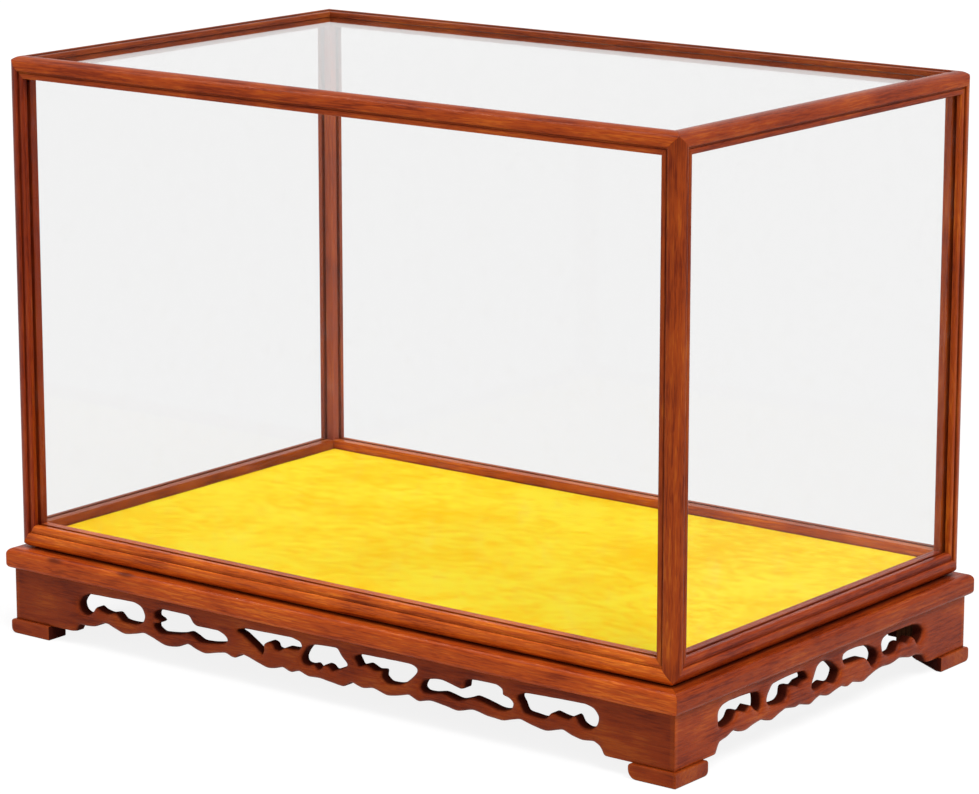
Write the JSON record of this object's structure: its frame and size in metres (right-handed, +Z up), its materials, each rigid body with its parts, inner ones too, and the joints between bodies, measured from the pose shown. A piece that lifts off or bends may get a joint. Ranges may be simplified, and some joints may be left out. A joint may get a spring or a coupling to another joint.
{
  "type": "figurine display case",
  "caption": "Glass display case for figurines: lift-off mitred rosewood and glass cover on a low base with carved, pierced aprons and a raised velvet floor.",
  "frame": {"origin": "middle of the footprint, on the surface that the feet stand on", "axes": "+Z up, +X along the long front towards the right, front face towards -Y"},
  "size_m": [0.512, 0.317, 0.3643],
  "materials": {
    "rosewood": "satin lacquer over straight reddish brown grain",
    "inner_wood": "plain wood, stained brown",
    "clear_glass": "clear polished float glass",
    "yellow_velvet": "short pile, soft sheen",
    "screw_steel": "bright zinc"
  },
  "bodies": {
    "base": {"cornice_front": "rosewood", "cornice_back": "rosewood", "cornice_left": "rosewood", "cornice_right": "rosewood", "apron_front": "rosewood", "apron_back": "rosewood", "apron_left": "rosewood", "apron_right": "rosewood", "foot_front_left": "rosewood", "foot_front_right": "rosewood", "foot_back_left": "rosewood", "foot_back_right": "rosewood", "cornice_splines": "inner_wood", "corner_block_front_left": "inner_wood", "corner_block_front_right": "inner_wood", "corner_block_back_left": "inner_wood", "corner_block_back_right": "inner_wood", "glue_blocks": "inner_wood", "floor_board": "inner_wood", "batten_left": "inner_wood", "batten_right": "inner_wood", "floor_screws": "screw_steel", "foot_screws": "screw_steel", "velvet_cloth": "yellow_velvet"},
    "cover": {"post_front_left": "rosewood", "post_front_right": "rosewood", "post_back_left": "rosewood", "post_back_right": "rosewood", "top_rail_front": "rosewood", "top_rail_back": "rosewood", "top_rail_left": "rosewood", "top_rail_right": "rosewood", "bottom_rail_front": "rosewood", "bottom_rail_back": "rosewood", "bottom_rail_left": "rosewood", "bottom_rail_right": "rosewood", "glass_front": "clear_glass", "glass_back": "clear_glass", "glass_left": "clear_glass", "glass_right": "clear_glass", "glass_top": "clear_glass", "dowels_top": "inner_wood", "dowels_bottom": "inner_wood"}
  },
  "joints": [
    {"name": "cover_lift", "type": "slide", "parent": "base", "child": "cover", "axis": [0, 0, 1], "range_m": [0, 0.33]}
  ]
}
